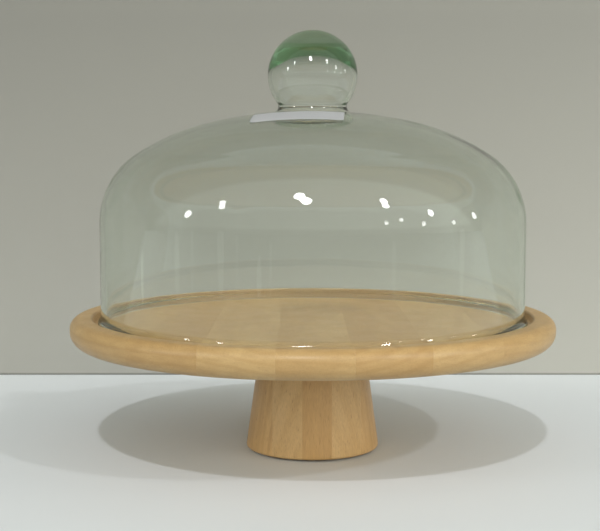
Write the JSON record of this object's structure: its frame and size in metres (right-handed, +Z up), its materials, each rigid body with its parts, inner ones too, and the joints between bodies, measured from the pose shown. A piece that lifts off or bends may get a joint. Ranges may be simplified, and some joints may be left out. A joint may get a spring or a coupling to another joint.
{
  "type": "cheese dome",
  "caption": "Footed wooden serving plate, glued up from boards, under a lift-off pale green blown glass dome with a hollow ball knob.",
  "frame": {"origin": "centre of the foot, on the surface the pads stand on", "axes": "+Z up along the common axis of the foot, plate, dome and knob; -Y is the front, where the paper label is; +X is to the right seen from the front"},
  "size_m": [0.3, 0.3, 0.2607],
  "materials": {
    "green_tinted_glass": "smooth blown glass, pale green",
    "white_paper": "matt, blank",
    "zinc_plated_steel": "zinc plated",
    "brass": "machined",
    "black_rubber": "matt",
    "plate_wood_light": "satin varnish",
    "plate_wood_warm": "satin varnish",
    "plate_wood_pale": "satin varnish",
    "pedestal_wood_warm": "satin varnish",
    "pedestal_wood_light": "satin varnish"
  },
  "bodies": {
    "stand": {"hanger_screw": "zinc_plated_steel", "threaded_insert": "brass", "foot_pad_1": "black_rubber", "foot_pad_2": "black_rubber", "foot_pad_3": "black_rubber", "foot_pad_4": "black_rubber", "pedestal_board_1": "pedestal_wood_warm", "pedestal_board_2": "pedestal_wood_light", "pedestal_board_3": "pedestal_wood_warm", "pedestal_board_4": "pedestal_wood_light", "pedestal_board_5": "pedestal_wood_warm", "plate_board_1": "plate_wood_light", "plate_board_2": "plate_wood_warm", "plate_board_3": "plate_wood_pale", "plate_board_4": "plate_wood_light", "plate_board_5": "plate_wood_warm", "plate_board_6": "plate_wood_pale", "plate_board_7": "plate_wood_light"},
    "dome": {"glass_dome": "green_tinted_glass", "price_label": "white_paper"}
  },
  "joints": [
    {"name": "dome_lift", "type": "slide", "parent": "stand", "child": "dome", "axis": [0, 0, 1], "range_m": [0, 0.25]}
  ]
}
